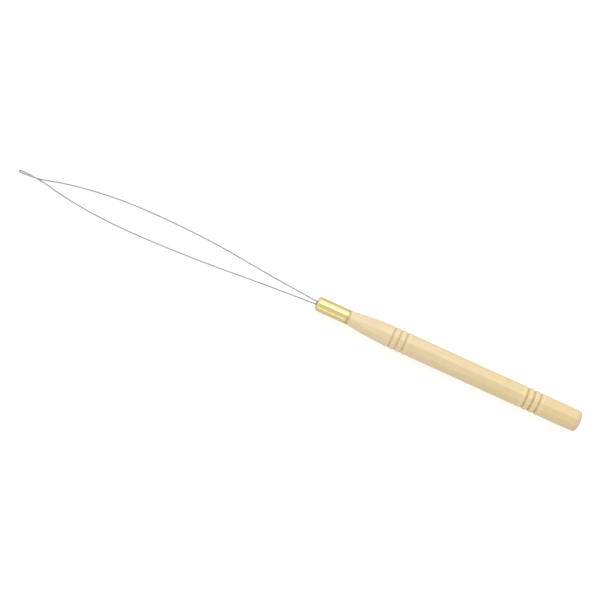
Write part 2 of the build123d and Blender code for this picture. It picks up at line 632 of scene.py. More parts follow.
@dataclass(frozen=True)
class LacqueredWood:
    """Pale, straight-grained turned wood under a satin lacquer, mellower towards the butt."""

    axis_height: float
    effects: SharedEffects
    early: Colour = (0.775, 0.640, 0.380)
    mellow: Colour = (0.775, 0.628, 0.328)
    late: Colour = (0.640, 0.475, 0.240)
    fleck: Colour = (0.500, 0.320, 0.150)
    rosy: Colour = (0.785, 0.610, 0.425)
    # Groove and seam colour: dirt in the hollows plus painted shade.
    golden_soil_and_shade: Colour = (0.500, 0.310, 0.105)
    # Lighter colour on outward rims: sanding wear plus a painted highlight on the bead crests.
    rubbed_and_glint: Colour = (0.930, 0.760, 0.440)
    # End grain colour, made darker and greyer as painted shade on the butt's rounding.
    end: Colour = (0.560, 0.500, 0.375)
    end_late: Colour = (0.390, 0.290, 0.165)
    mellow_from: float = 40.0
    mellow_to: float = 112.0
    ring_width: float = 1.7
    ring_waver: float = 1.6
    pith_place: Triple = (0.0, 9.0, 15.0)
    pith_lean: Triple = (0.0, 0.16, 0.30)
    length_squeeze: float = 0.05
    patch_squeeze: float = 0.35
    patch_scale: float = 0.16
    fibres: Lines = Lines(0.045, 3.6, 0.32, 0.70)
    hair: Lines = Lines(0.16, 11.0, 0.35, 0.65)
    pores: Lines = Lines(0.55, 13.0, 0.62, 0.74)
    rays: Lines = Lines(0.42, 4.6, 0.665, 0.72)
    tooling: Lines = Lines(7.0, 0.15, 0.3, 0.7)
    # Strength of the dirt and painted shade in the hollows, raised towards the rear grooves.
    front_soil_and_shade: float = 0.64
    added_rear_soil_and_shade: float = 0.38
    roughness: float = 0.40
    coat_weight: float = 0.95
    coat_roughness: float = 0.33
    relief_depth: float = 0.025 * MM

    def rings(self, bench: Bench, place: Any) -> bpy.types.NodeSocket:
        """Growth rings, from 0 in early wood to 1 in late wood.

        They are a saw wave of the distance from a pith that lies outside the handle and runs out
        of it at a slant. The wave rises slowly and falls back at once.

        Args:
            bench: The wood's bench.
            place: Coordinates in millimetres.

        Returns:
            The mask.
        """
        squeezed = bench.stretch(place, (self.length_squeeze, 1.0, 1.0))
        slant = {"Vector": squeezed, "Rotation": self.pith_lean, "Location": self.pith_place}
        wave = {
            "Vector": bench.add("ShaderNodeMapping", slant).outputs[0],
            "Scale": FULL_TURN / (WAVE_SCALE * self.ring_width),
            "Distortion": self.ring_waver,
            "Detail": 2.0,
            "Detail Scale": 0.9,
        }
        kind = {"wave_type": "RINGS", "rings_direction": "X", "wave_profile": "SAW"}
        saw = bench.add("ShaderNodeTexWave", wave, **kind).outputs["Fac"]
        rise = bench.rescale(saw, 0.35, 0.90)
        return bench.math("MULTIPLY", rise, bench.rescale(saw, 0.93, 1.0, 1.0, 0.0))

    def make(self) -> bpy.types.Material:
        """Builds the material: colours in layers, painted shade and a painted highlight among them, and
        relief from tool marks, hair and pores.
        """
        material, bench = Bench.for_material("lacquered_wood_finish")
        place = bench.object_mm(self.axis_height)
        rings = self.rings(bench, place)
        kinds = (self.fibres, self.hair, self.pores, self.rays, self.tooling)
        fibres, hair, pores, rays, tooling = (bench.lines(self.effects.lines, place, kind) for kind in kinds)
        cloud = bench.noise(bench.stretch(place, (self.patch_squeeze, 1.0, 1.0)), self.patch_scale, 2.0)
        recess, rim, end = (bench.trait(trait) for trait in (Trait.RECESS, Trait.RIM, Trait.END))
        along = bench.add("ShaderNodeSeparateXYZ", {0: place}).outputs[0]
        behind = bench.rescale(along, self.mellow_from, self.mellow_to)
        amount = bench.total(self.front_soil_and_shade, [(behind, self.added_rear_soil_and_shade)])
        soil_and_shade = bench.effect(self.effects.soil_and_shade, Vector=place, Recess=recess, Patch=0.5, Amount=amount)

        # The butt: end grain and its rings, plus painted shade on the rounding.
        sawn_and_shaded = bench.layers(self.end, [(rings, 0.60, self.end_late), (hair, 0.45, self.end_late)])
        coats = [
            (behind, 1.0, self.mellow),
            (rings, 0.42, self.late),
            (bench.rescale(cloud, 0.35, 0.7), 0.38, self.rosy),
            (fibres, 0.20, self.late),
            (hair, 0.12, self.fleck),
            (pores, 0.34, self.fleck),
            (rays, 0.40, self.late),
            (end, 0.88, sawn_and_shaded),
            # Rims: wear plus a painted highlight.
            (rim, 0.70, self.rubbed_and_glint),
            # Grooves and seam: dirt plus painted shade.
            (soil_and_shade, 0.80, self.golden_soil_and_shade),
        ]
        relief = bench.total(0.0, [(tooling, 0.5), (hair, -0.35), (pores, -0.8)])
        rough = bench.total(self.roughness, [(fibres, 0.10), (soil_and_shade, 0.15), (end, 0.12), (rim, -0.08)])
        bench.surface(
            {
                "Base Color": bench.layers(self.early, coats),
                "Roughness": rough,
                "Normal": bench.bump(relief, self.relief_depth),
                "IOR": 1.5,
                "Coat Weight": bench.total(self.coat_weight, [(soil_and_shade, -0.4)]),
                "Coat Roughness": self.coat_roughness,
                "Coat IOR": 1.48,
            }
        )
        return material


@dataclass(frozen=True)
class PolishedBrass:
    """Thin drawn brass tube, polished round, with patina and painted shade at its seams."""

    axis_height: float
    effects: SharedEffects
    bright: Colour = (0.895, 0.762, 0.360)
    deep: Colour = (0.815, 0.640, 0.240)
    # Patina colour, also laid on as painted shade at the seam, in the mouth and on the -Y side.
    tarnish_and_shade: Colour = (0.430, 0.255, 0.080)
    drawn: Lines = Lines(0.06, 9.0, 0.35, 0.68)
    turned: Lines = Lines(11.0, 0.12, 0.35, 0.65)
    scratch: Lines = Lines(0.5, 7.0, 0.70, 0.74)
    cloud_scale: float = 0.55
    roughness: float = 0.17
    relief_depth: float = 0.006 * MM

    def make(self) -> bpy.types.Material:
        """Builds the material: clouded colour, die and polishing lines, fine scratches, and patina with
        painted shade in its recesses.
        """
        material, bench = Bench.for_material("polished_brass_finish")
        place = bench.object_mm(self.axis_height)
        kinds = (self.drawn, self.turned, self.scratch)
        drawn, turned, scratch = (bench.lines(self.effects.lines, place, kind) for kind in kinds)
        cloud = bench.rescale(bench.noise(place, self.cloud_scale, 4.0), 0.38, 0.72)
        recess, rim = bench.trait(Trait.RECESS), bench.trait(Trait.RIM)
        soil_and_shade = bench.effect(self.effects.soil_and_shade, Vector=place, Recess=recess, Patch=0.7, Amount=1.0)

        coats = [
            (cloud, 0.55, self.deep),
            (drawn, 0.16, self.deep),
            (rim, 0.5, self.bright),
            (soil_and_shade, 0.8, self.tarnish_and_shade),
        ]
        rough = bench.total(self.roughness, [(drawn, 0.06), (cloud, 0.06), (scratch, 0.15), (soil_and_shade, 0.3)])
        relief = bench.total(0.0, [(turned, 0.4), (drawn, 0.5), (scratch, -0.8)])
        bench.surface(
            {
                "Base Color": bench.layers(self.bright, coats),
                "Metallic": 1.0,
                "Roughness": rough,
                "Normal": bench.bump(relief, self.relief_depth),
            }
        )
        return material


@dataclass(frozen=True)
class DrawnSteel:
    """Bright spring-steel wire with die lines along it."""

    effects: SharedEffects
    bright: Colour = (0.440, 0.428, 0.418)
    dull: Colour = (0.280, 0.270, 0.268)
    temper: Colour = (0.400, 0.330, 0.260)
    die: Lines = Lines(0.08, 14.0, 0.36, 0.66)
    pits: Dots = Dots(6.0, 0.16, 0.25)
    cloud_squeeze: float = 0.12
    cloud_scale: float = 1.4
    roughness: float = 0.24
    relief_depth: float = 0.003 * MM

    def make(self) -> bpy.types.Material:
        """Builds the material on the wire's own straightened coordinates."""
        material, bench = Bench.for_material("drawn_steel_finish")
        place = bench.stretch(bench.trait(Trait.STRAIGHT, "Vector"), (PER_MM,) * 3)
        die = bench.lines(self.effects.lines, place, self.die)
        cloud = bench.noise(bench.stretch(place, (self.cloud_squeeze, 1.0, 1.0)), self.cloud_scale)
        dull = bench.rescale(cloud, 0.4, 0.7)
        pits = bench.dots(self.effects.dots, place, self.pits)
        recess = bench.trait(Trait.RECESS)
        stain = bench.effect(self.effects.soil_and_shade, Vector=place, Recess=recess, Patch=0.5, Amount=0.9)

        coats = [
            (dull, 0.5, self.dull),
            (die, 0.25, self.dull),
            (pits, 0.5, self.dull),
            (stain, 0.7, self.temper),
        ]
        bench.surface(
            {
                "Base Color": bench.layers(self.bright, coats),
                "Metallic": 1.0,
                "Roughness": bench.total(self.roughness, [(die, 0.12), (dull, 0.10)]),
                "Normal": bench.bump(bench.total(die, [(pits, -0.5)]), self.relief_depth),
            }
        )
        return material


@dataclass(frozen=True)
class CuredResin:
    """Amber resin with small bubbles and dust on it."""

    axis_height: float
    effects: SharedEffects
    clear: Colour = (0.430, 0.235, 0.055)
    dark: Colour = (0.200, 0.095, 0.020)
    dust: Colour = (0.520, 0.390, 0.210)
    bubbles: Dots = Dots(3.2, 0.35, 0.5)
    motes: Dots = Dots(11.0, 0.25, 0.3)
    swirl_scale: float = 1.1
    roughness: float = 0.16
    relief_depth: float = 0.03 * MM

    def make(self) -> bpy.types.Material:
        """Builds the material: swirls from clear to dark, bubbles, motes and darker colour towards its outer
        edge.
        """
        material, bench = Bench.for_material("cured_resin_finish")
        place = bench.object_mm(self.axis_height)
        bubbles, motes = (bench.dots(self.effects.dots, place, kind) for kind in (self.bubbles, self.motes))
        swirl = bench.rescale(bench.noise(place, self.swirl_scale), 0.35, 0.7)
        recess = bench.trait(Trait.RECESS)
        soil_and_shade = bench.effect(self.effects.soil_and_shade, Vector=place, Recess=recess, Patch=0.9, Amount=0.8)

        coats = [
            (swirl, 0.7, self.dark),
            (bubbles, 0.35, self.dust),
            (motes, 0.35, self.dust),
            (soil_and_shade, 1.0, self.dark),
        ]
        relief = bench.total(0.0, [(swirl, 0.4), (bubbles, 0.8)])
        bench.surface(
            {
                "Base Color": bench.layers(self.clear, coats),
                "Roughness": bench.total(self.roughness, [(motes, 0.30)]),
                "Normal": bench.bump(relief, self.relief_depth),
                "IOR": 1.52,
                "Coat Weight": 0.4,
                "Coat Roughness": 0.12,
            }
        )
        return material


@dataclass(frozen=True)
class StudioPaper:
    """Matt white paper that is lit through from below, as on a light table."""

    effects: SharedEffects
    white: Colour = (0.360, 0.360, 0.360)
    fibre: Colour = (0.330, 0.330, 0.325)
    lamp: Colour = (1.0, 0.998, 0.992)
    specks: Dots = Dots(0.6, 0.3, 0.35)
    cloud_scale: float = 0.03
    tooth_scale: float = 1.5
    glow: float = 0.71
    gloss_dimming: float = 0.55
    roughness: float = 0.8
    relief_depth: float = 0.05 * MM

    def make(self) -> bpy.types.Material:
        """Builds the material, whose glow is weaker where polished metal mirrors it."""
        material, bench = Bench.for_material("studio_paper_finish")
        place = bench.object_mm(0.0)
        cloud = bench.rescale(bench.noise(place, self.cloud_scale), 0.35, 0.65)
        specks = bench.dots(self.effects.dots, place, self.specks)
        shade = bench.total(0.0, [(cloud, 0.35), (specks, 0.3)])
        mirrored = bench.add("ShaderNodeLightPath").outputs["Is Glossy Ray"]
        bench.surface(
            {
                "Base Color": bench.layers(self.white, [(shade, 1.0, self.fibre)]),
                "Roughness": bench.total(self.roughness, [(cloud, 0.1)]),
                "Normal": bench.bump(bench.noise(place, self.tooth_scale, 4.0), self.relief_depth),
                "Specular IOR Level": 0.2,
                "Emission Color": (*self.lamp, 1.0),
                "Emission Strength": bench.total(self.glow, [(mirrored, -self.gloss_dimming * self.glow)]),
            }
        )
        return material


# ---------------------------------------------------------------------------------------------
# Pieces
# ---------------------------------------------------------------------------------------------


def seat_piece(
    piece: bpy.types.Object, node: Node, finish: bpy.types.Material
) -> bpy.types.Object:
    """Dresses a piece and ties it to the CAD model.

    Args:
        piece: The new object.
        node: CAD node that it stands for.
        finish: Its material.

    Returns:
        The same object.
    """
    piece.data.materials.append(finish)
    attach(piece, "root")
    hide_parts(node.value)
    return piece


@dataclass(frozen=True)
class Handle:
    """Turned wooden handle with its tenon and bore.

    Each row of waves is (turns along the handle, turns round the axis, start in radians).
    """

    place: ToolFrame
    nose_length: float = 23.0 * MM
    shoulder_round: float = 0.3 * MM
    butt_dome: float = 0.6 * MM
    butt_round: float = 1.8 * MM
    groove_pitch: float = 3.0 * MM
    grooves_per_group: int = 3
    groove_depth: float = 0.4 * MM
    groove_cutter_radius: float = 0.75 * MM
    groove_blend: float = 0.42 * MM
    groove_flare: float = 6.0
    front_setback: float = 24.0 * MM
    rear_setback: float = 23.4 * MM
    bead_crown: float = 0.14 * MM
    crown_start: float = 0.75
    crown_end: float = 0.5
    seam_reach: float = 3.0 * MM
    sanding_ripple: float = 0.012 * MM
    waves: tuple[Triple, ...] = ((3.0, 2.0, 0.0), (5.0, -3.0, 1.0), (11.0, 1.0, 0.0))
    sanded_shares: tuple[float, float] = (0.75, 0.95)
    recess_start: float = 0.12
    # Painted shadow and dirt on the wood beside the ferrule's rear edge.
    seam_dirt_and_shade_reach: float = 0.9 * MM
    seam_dirt_and_shade: float = 0.8
    rim_bend: float = 0.6 * MM
    # Painted shade on the butt's rounding, fading in from the butt.
    butt_shade_share: float = 0.75
    butt_shade_reach: float = 3.2 * MM
    butt_shade_full: float = 0.96 * MM
    cut_steepness: tuple[float, float] = (0.20, 0.85)
    coarse_step: float = 0.9 * MM
    fine_count: int = 60
    clear_of_fine: float = 0.12 * MM
    columns: int = 112

    @property
    def nose_radius(self) -> float:
        """Radius of the nose's circle: nose length squared plus its rise squared, over twice the rise."""
        rise = self.place.body_radius - self.place.ferrule_radius
        return (self.nose_length**2 + rise**2) / (2.0 * rise)

    def groove_centres(self) -> Floats:
        """Places of all grooves along X: each group's middle plus whole pitches either side."""
        spot = self.place
        middles = np.array([spot.shoulder_x + self.front_setback, spot.butt_x - self.rear_setback])
        steps = np.arange(self.grooves_per_group) - 0.5 * (self.grooves_per_group - 1)
        return (middles[:, None] + steps * self.groove_pitch).ravel()

    def plain_radius(self, x: Floats) -> Floats:
        """Radius before the grooves are cut.

        From the shoulder to the end of the nose it follows a circle that is tangent to the full
        diameter: radius minus big radius plus the root of big radius squared less the distance
        from the nose's end squared. Behind it the radius is full.

        Args:
            x: Places along the tool.

        Returns:
            Radii.
        """
        before = np.maximum(self.place.shoulder_x + self.nose_length - x, 0.0)
        return self.place.body_radius - self.nose_radius + np.sqrt(self.nose_radius**2 - before**2)

    def cut_radius(self, x: Floats) -> Floats:
        """Radius with its grooves and the slightly crowned beads between them.

        A groove is the lower half of the cutter's circle: its centre's height minus the root of
        the cutter's radius squared less the distance squared. The lower of it and the plain
        radius is taken with a rounded crease. Away from the beads and from the ferrule the
        surface lies lower by the height of a bead's crown.

        Args:
            x: Places along the tool.

        Returns:
            Radii.
        """
        cutter = self.groove_cutter_radius
        centre = self.place.body_radius - self.groove_depth + cutter
        offset = x[:, None] - self.groove_centres()
        inside = np.sqrt(np.clip(cutter**2 - offset**2, 0.0, None))
        beyond = np.clip(np.abs(offset) - cutter, 0.0, None)
        floor = np.min(centre - inside + self.groove_flare * beyond, axis=1)
        nearest = np.min(np.abs(offset), axis=1) / self.groove_pitch
        crown = smooth_step(self.crown_start, self.crown_end, nearest)
        beside_ferrule = smooth_step(self.seam_reach, 0.0, x - self.place.shoulder_x)
        drop = self.bead_crown * (1.0 - np.maximum(crown, beside_ferrule))
        return smooth_lower(self.plain_radius(x) - drop, floor, self.groove_blend)

    def turned_places(self, start: float, end: float) -> Floats:
        """Places along X for the turned stretch, coarse on the plain parts and fine round the grooves."""
        coarse = np.linspace(start, end, int((end - start) / self.coarse_step))
        reach = np.linspace(-0.5, 0.5, self.fine_count) * self.groove_pitch
        fine = (self.groove_centres()[:, None] + reach).ravel()
        gap = np.min(np.abs(coarse[:, None] - fine), axis=1)
        return np.unique(np.concatenate([coarse[gap > self.clear_of_fine], fine]).round(7))

    def outline(self) -> tuple[Floats, Floats]:
        """Outline from the butt's pole to the bore's end, and how deep each point lies in a recess.

        The butt is a shallow dome that a round of its own joins to the plain stretch: the round's
        centre lies at the dome's radius less its own from the dome's centre. The shoulder's round
        touches the nose's circle from inside and the ferrule's face.

        Returns:
            Rows (x, radius) and one recess value from 0 to 1 for each.
        """
        spot, big = self.place, self.nose_radius
        full = spot.body_radius - self.bead_crown
        dome = (full**2 + self.butt_dome**2) / (2.0 * self.butt_dome)
        dome_x = spot.butt_x - dome
        round_r = full - self.butt_round
        round_x = dome_x + math.sqrt((dome - self.butt_round) ** 2 - round_r**2)
        lift = math.atan2(round_r, round_x - dome_x)
        back = self.nose_length - self.shoulder_round
        corner_x = spot.shoulder_x + self.shoulder_round
        corner_r = spot.body_radius - big + math.sqrt((big - self.shoulder_round) ** 2 - back**2)
        lean = math.atan2(corner_r - spot.body_radius + big, -back)
        turned_end = corner_x + self.shoulder_round * math.cos(lean)
        x = self.turned_places(turned_end, round_x)[::-1]
        tenon = [(spot.shoulder_x, corner_r), (spot.shoulder_x, spot.tenon_radius), *spot.bore_corners]
        parts = [
            arc((dome_x, 0.0), dome, 0.0, lift, 30),
            arc((round_x, round_r), self.butt_round, lift, QUARTER_TURN, 22),
            np.stack([x, self.cut_radius(x)], axis=1),
            arc((corner_x, corner_r), self.shoulder_round, lean, math.pi, 9),
            crisp_path(tenon, (3, 8, 6, 16, 4), spot.crisp),
        ]
        points = without_repeats(np.vstack(parts))
        depth = (self.plain_radius(points[:, 0]) - points[:, 1]) / self.groove_depth
        body_start = spot.shoulder_x + self.nose_length - self.groove_pitch
        on_body = (points[:, 0] > body_start) & (points[:, 0] < round_x)
        recess = np.where(on_body, smooth_step(self.recess_start, 1.0, depth), 0.0)
        # The seam by the ferrule gets painted shadow and dirt, as if it were a recess.
        seam = self.seam_dirt_and_shade * smooth_step(self.seam_dirt_and_shade_reach, 0.0, points[:, 0] - spot.shoulder_x)
        return points, np.maximum(recess, seam)

    def worn_and_shaded_places(self, outline: Floats) -> tuple[Floats, Floats]:
        """Finds the rims, which carry wear from hands and a painted highlight, and the end, which shows
        cut grain and painted shade.

        A rim is where the outline bends outwards, short of the butt. The end is where the outline
        runs steeply across X at the butt, together with painted shade that fades along the handle.

        Args:
            outline: Rows (x, radius), from the butt's pole.

        Returns:
            A rim value and an end value from 0 to 1 for each row.
        """
        behind = self.place.butt_x - outline[:, 0]
        bend = outline_bend(outline, False)
        # Outward bends get wear and a painted highlight in the wood's colour.
        rim = np.clip(bend * np.sign(bend[3]) * self.rim_bend, 0.0, 1.0)
        along, across = np.abs(np.gradient(outline, axis=0)).T
        steep = smooth_step(*self.cut_steepness, across / np.hypot(across, along))
        cut = np.where(behind < self.butt_round, steep, 0.0)
        # Painted shade near the butt, where its rounding lies in shade.
        butt_shade = self.butt_shade_share * smooth_step(self.butt_shade_reach, self.butt_shade_full, behind)
        return np.where(behind < self.groove_pitch, 0.0, rim), np.maximum(cut, butt_shade)

    def sand(self, points: Floats) -> None:
        """Takes off the little that hand sanding does, unevenly.

        The radius loses the ripple's height times one plus the mean of a few waves along X and
        round the axis, on the outside of the body only.

        Args:
            points: Rows (x, y, z), which are changed.
        """
        height = self.place.axis_height
        angle = np.arctan2(points[:, 2] - height, points[:, 1])
        reach = np.hypot(points[:, 2] - height, points[:, 1])
        along = points[:, 0] / (self.place.butt_x - self.place.shoulder_x) * FULL_TURN
        wave = sum(np.sin(ahead * along + across * angle + start) for ahead, across, start in self.waves)
        outer = smooth_step(*self.sanded_shares, reach / self.place.body_radius)
        count = float(len(self.waves))
        shrink = 1.0 - self.sanding_ripple * outer * (count + wave) / count / np.maximum(reach, MM)
        points[:, 1] *= shrink
        points[:, 2] = height + (points[:, 2] - height) * shrink

    def build(self, finish: bpy.types.Material) -> bpy.types.Object:
        """Turns the outline about the axis and sands it.

        Args:
            finish: Wood material.

        Returns:
            The handle.
        """
        outline, recess = self.outline()
        rim, end = self.worn_and_shaded_places(outline)
        shell = turn_outline(outline, self.columns, self.place.axis_height, False)
        self.sand(shell.points)
        values = {Trait.RECESS: recess, Trait.RIM: rim, Trait.END: end}
        traits = {trait: shell.spread(value[1:-1], True) for trait, value in values.items()}
        piece = shell.mesh_object("turned_handle", traits)
        return seat_piece(piece, Node.HANDLE, finish)


@dataclass(frozen=True)
class Ferrule:
    """Drawn brass tube with its front rim rolled in."""

    place: ToolFrame
    rim_bend: float = 0.4 * MM
    seam_reach: float = 1.1 * MM
    throat_reach: float = 0.7 * MM
    # Patina and painted shade inside the tube.
    inside_patina_and_shade: float = 0.4
    skin: float = 0.01 * MM
    # Share of the patina and painted shade that shifts to the -Y side, away from the key light.
    lower_side_shade: float = 0.25
    columns: int = 128

    def outline(self) -> Floats:
        """Closed section of the tube: outer wall, rolled lip, mouth, inner wall and rear edge."""
        spot, edge, crisp = self.place, self.place.edge_round, self.place.crisp
        outer, inner, mouth = spot.ferrule_radius, spot.tenon_radius, spot.mouth_radius
        lip_x, lip_r = spot.mouth_x + spot.lip_round, outer - spot.lip_round
        wall_x, rear_x = spot.mouth_x + spot.wall, spot.shoulder_x
        parts = [
            crisp_path([(rear_x - edge, outer), (lip_x, outer)], (40,), crisp),
            arc((lip_x, lip_r), spot.lip_round, QUARTER_TURN, math.pi, 20),
            crisp_path([(spot.mouth_x, lip_r), (spot.mouth_x, mouth + edge)], (4,), crisp),
            arc((spot.mouth_x + edge, mouth + edge), edge, math.pi, 1.5 * math.pi, 8),
            crisp_path([(spot.mouth_x + edge, mouth), (wall_x, mouth), (wall_x, lip_r)], (3, 4), crisp),
            arc((lip_x, lip_r), spot.lip_round - spot.wall, math.pi, QUARTER_TURN, 12),
            crisp_path([(lip_x, inner), (rear_x, inner), (rear_x, outer - edge)], (30, 3), crisp),
            arc((rear_x - edge, outer - edge), edge, 0.0, QUARTER_TURN, 8),
        ]
        return without_repeats(np.vstack(parts))[:-1]

    def build(self, finish: bpy.types.Material) -> bpy.types.Object:
        """Turns the section about the axis, with patina and painted shade at the seam and the mouth.

        Their strength is one, less the lower side share and less that share times the cosine of
        the angle round the axis, so it is strongest on the -Y side, away from the key light.

        Args:
            finish: Brass material.

        Returns:
            The ferrule.
        """
        spot = self.place
        outline = self.outline()
        shell = turn_outline(outline, self.columns, spot.axis_height, True)
        bend = outline_bend(outline, True)
        rim = np.clip(np.abs(bend) * self.rim_bend, 0.0, 1.0)
        # Painted shadow at the seam against the wood and in the mouth, over the real patina.
        seam = smooth_step(self.seam_reach, 0.0, spot.shoulder_x - outline[:, 0])
        throat = smooth_step(spot.mouth_radius + self.throat_reach, spot.mouth_radius, outline[:, 1])
        inside = outline[:, 1] < spot.tenon_radius + self.skin
        recess = np.maximum(seam, np.where(inside, np.maximum(throat, self.inside_patina_and_shade), 0.0))
        around = np.arctan2(shell.points[:, 2] - spot.axis_height, shell.points[:, 1])
        # Painted shade: stronger on the -Y side, away from the key light.
        shaded_side_factor = 1.0 - self.lower_side_shade - self.lower_side_shade * np.cos(around)
        traits = {Trait.RECESS: shell.spread(recess, False) * shaded_side_factor, Trait.RIM: shell.spread(rim, False)}
        piece = shell.mesh_object("brass_ferrule", traits)
        return seat_piece(piece, Node.FERRULE, finish)


@dataclass(frozen=True)
class WireLoop:
    """One spring-steel wire: tail, strand, folded tip, strand and tail.

    Each row of flare and taper is a corner of a strand: how far along that stretch it lies, how
    wide as a share of the belly, and how far the loop's middle line has gone towards its offset.
    """

    place: ToolFrame
    exit_bend_reach: float = 4.8 * MM
    flare_length: float = 82.0 * MM
    eye_length: float = 8.6 * MM
    belly_half_width: float = 5.8 * MM
    eye_gap: float = 0.2 * MM
    crossing_gap: float = 0.04 * MM
    tip_offset: float = -1.3 * MM
    belly_offset: float = 0.4 * MM
    handled_reach: float = 3.0 * MM
    folded_reach: float = 2.5 * MM
    folded_share: float = 0.8
    end_share: float = 0.8
    cut_rounds: int = 5
    columns: int = 20

    flare: tuple[Triple, ...] = ((0.30, 0.41, 0.5), (0.62, 0.83, 1.2), (0.91, 1.00, 0.8))
    taper: tuple[Triple, ...] = ((0.23, 1.00, 0.0), (0.53, 0.78, 0.3), (0.77, 0.45, 0.55))
    pinch_along: float = 0.93
    pinch_lean: float = 0.80
    crossing_lean: float = 0.95
    eye_middle_spread: float = 0.9

    def strand(self, side: int) -> Floats:
        """Corners of one strand from its tail to the folded tip.

        A strand starts on its own side, passes over (+1) or under (-1) the other one at the
        crossing and ends on the other side of the tip. Each corner's Y is a share of the lean of
        the loop's middle line plus the side times a share of the belly's half width.

        Args:
            side: +1 or -1.

        Returns:
            Rows (x, y, height over the axis).
        """
        spot, half, thick = self.place, self.belly_half_width, self.place.wire_radius
        fold_radius = thick + 0.5 * self.eye_gap
        fold_x = spot.tip_x + thick + fold_radius
        rise = thick + 0.5 * self.crossing_gap
        belly_x = spot.mouth_x - self.flare_length
        crossing_x = spot.tip_x + self.eye_length
        taper_length = belly_x - crossing_x
        tail_y = 0.5 * side * spot.tail_spacing

        flare, taper = np.array(self.flare), np.array(self.taper)
        flare_x = spot.mouth_x - flare[:, 0] * self.flare_length
        flare_y = flare[:, 2] * self.belly_offset + side * flare[:, 1] * half
        taper_x = belly_x - taper[:, 0] * taper_length
        taper_y = taper[:, 2] * self.tip_offset + side * taper[:, 1] * half
        slope = (flare_y[0] - tail_y) / (flare_x[0] - spot.mouth_x)
        bend = self.exit_bend_reach
        flat = np.vstack(
            [
                [(spot.tail_end_x, tail_y), (spot.mouth_x + bend, tail_y), (spot.mouth_x, tail_y)],
                [(spot.mouth_x - bend, tail_y - slope * bend)],
                np.stack([flare_x, flare_y], axis=1),
                np.stack([taper_x, taper_y], axis=1),
            ]
        )
        level = np.column_stack([flat, np.zeros(len(flat))])
        eye_y = self.tip_offset - side * self.eye_middle_spread * fold_radius
        fold_y = self.tip_offset - side * fold_radius
        pinch_x = belly_x - self.pinch_along * taper_length
        pinch_y = self.pinch_lean * self.tip_offset + side * 2.0 * thick
        crossed = [
            (pinch_x, pinch_y, side * rise),
            (crossing_x, self.crossing_lean * self.tip_offset, side * rise),
            (0.5 * (crossing_x + fold_x), eye_y, side * thick),
            (fold_x, fold_y, 0.0),
            (spot.tip_x + thick, fold_y, 0.0),
        ]
        return np.vstack([level, crossed])

    def centre_line(self) -> Floats:
        """Smooth line through the wire's middle.

        The corners of both strands are cut again and again: each run is replaced by the points
        a quarter and three quarters along it, which tends to a quadratic spline that touches
        every run at its middle.

        Returns:
            Rows (x, y, z).
        """
        line = np.vstack([self.strand(1), self.strand(-1)[::-1]])
        for _ in range(self.cut_rounds):
            near = 0.75 * line[:-1] + 0.25 * line[1:]
            far = 0.25 * line[:-1] + 0.75 * line[1:]
            inner = np.stack([near, far], axis=1).reshape(-1, 3)
            line = np.vstack([line[:1], inner, line[-1:]])
        return line + np.array([0.0, 0.0, self.place.axis_height])

    def build(self, finish: bpy.types.Material) -> bpy.types.Object:
        """Carries a circle along the centre line.

        A point at angle a on a ring is the line's point plus the wire's radius times cos a along
        the sideways direction, up crossed with the tangent, and sin a along the third one. The
        ends are cut flat with a broken edge.

        Args:
            finish: Steel material.

        Returns:
            The wire loop.
        """
        line = self.centre_line()
        tangent = np.gradient(line, axis=0)
        tangent /= np.linalg.norm(tangent, axis=1, keepdims=True)
        sideways = np.cross(np.array([0.0, 0.0, 1.0]), tangent)
        sideways /= np.linalg.norm(sideways, axis=1, keepdims=True)
        third = np.cross(tangent, sideways)
        thick = self.place.wire_radius
        size = np.full(len(line), thick)
        size[[0, -1]] = self.end_share * thick

        angle = np.arange(self.columns) * FULL_TURN / self.columns
        around = np.cos(angle)[:, None] * sideways[:, None, :] + np.sin(angle)[:, None] * third[:, None, :]
        rings = line[:, None, :] + size[:, None, None] * around
        shell = Shell.from_rings(rings, line[[0, -1]])

        steps = np.linalg.norm(np.diff(line, axis=0), axis=1)
        run = np.concatenate([[0.0], np.cumsum(steps)])
        skin = np.broadcast_arrays(run[:, None], thick * np.cos(angle), thick * np.sin(angle))
        straight = np.stack(skin, axis=-1).reshape(-1, 3)
        straight = np.vstack([straight, [(run[0], 0.0, 0.0), (run[-1], 0.0, 0.0)]])
        handled = smooth_step(self.handled_reach, 0.0, np.abs(line[:, 0] - self.place.mouth_x))
        folded = self.folded_share * smooth_step(self.folded_reach, 0.0, line[:, 0] - self.place.tip_x)
        traits = {Trait.STRAIGHT: straight, Trait.RECESS: shell.spread(np.maximum(handled, folded), True)}
        piece = shell.mesh_object("steel_wire_loop", traits)
        return seat_piece(piece, Node.WIRE_LOOP, finish)


